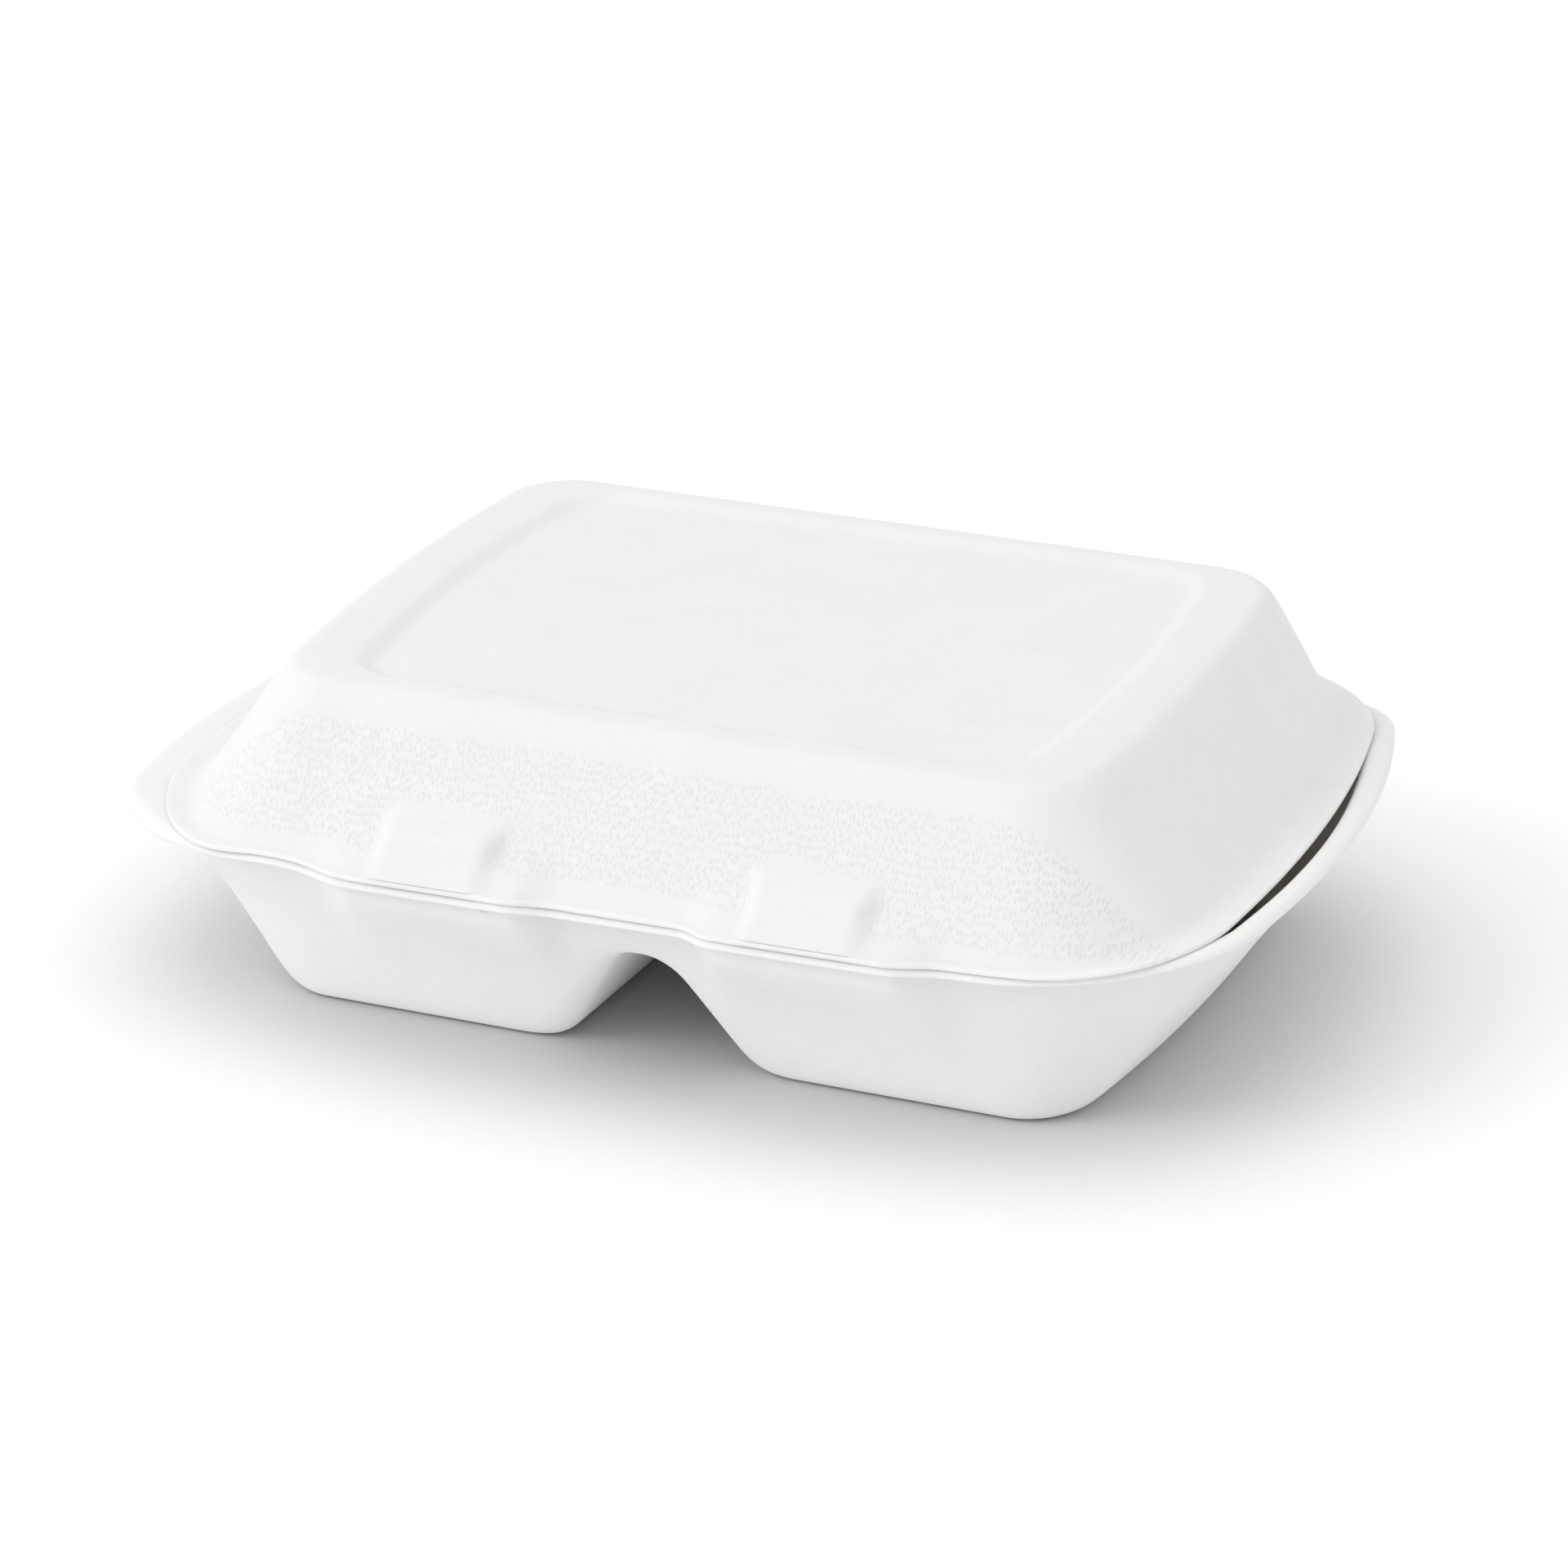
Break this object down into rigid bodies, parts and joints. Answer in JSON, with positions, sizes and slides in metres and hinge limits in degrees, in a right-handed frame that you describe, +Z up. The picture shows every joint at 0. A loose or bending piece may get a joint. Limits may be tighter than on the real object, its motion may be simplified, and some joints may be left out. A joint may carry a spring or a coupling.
{
  "type": "molded fiber clamshell container",
  "caption": "Closed molded fiber clamshell food box with two pockets, a hinged domed lid with a sunk top panel, and front tongue-and-slit latches.",
  "frame": {"origin": "middle of the footprint, on the surface the box stands on", "axes": "+X along the long side, -Y toward the front with the two latches, +Z up"},
  "size_m": [0.23, 0.162, 0.0693],
  "materials": {
    "fiber": "matt, uncoated, fine screen texture"
  },
  "bodies": {
    "tray": {"tray": "fiber"},
    "lid": {"lid": "fiber"}
  },
  "joints": [
    {"name": "lid_fold", "type": "hinge", "parent": "tray", "child": "lid", "pos_m": [0, 0.0815, 0.0397], "axis": [-1, 0, 0], "range_deg": [0, 177]}
  ]
}
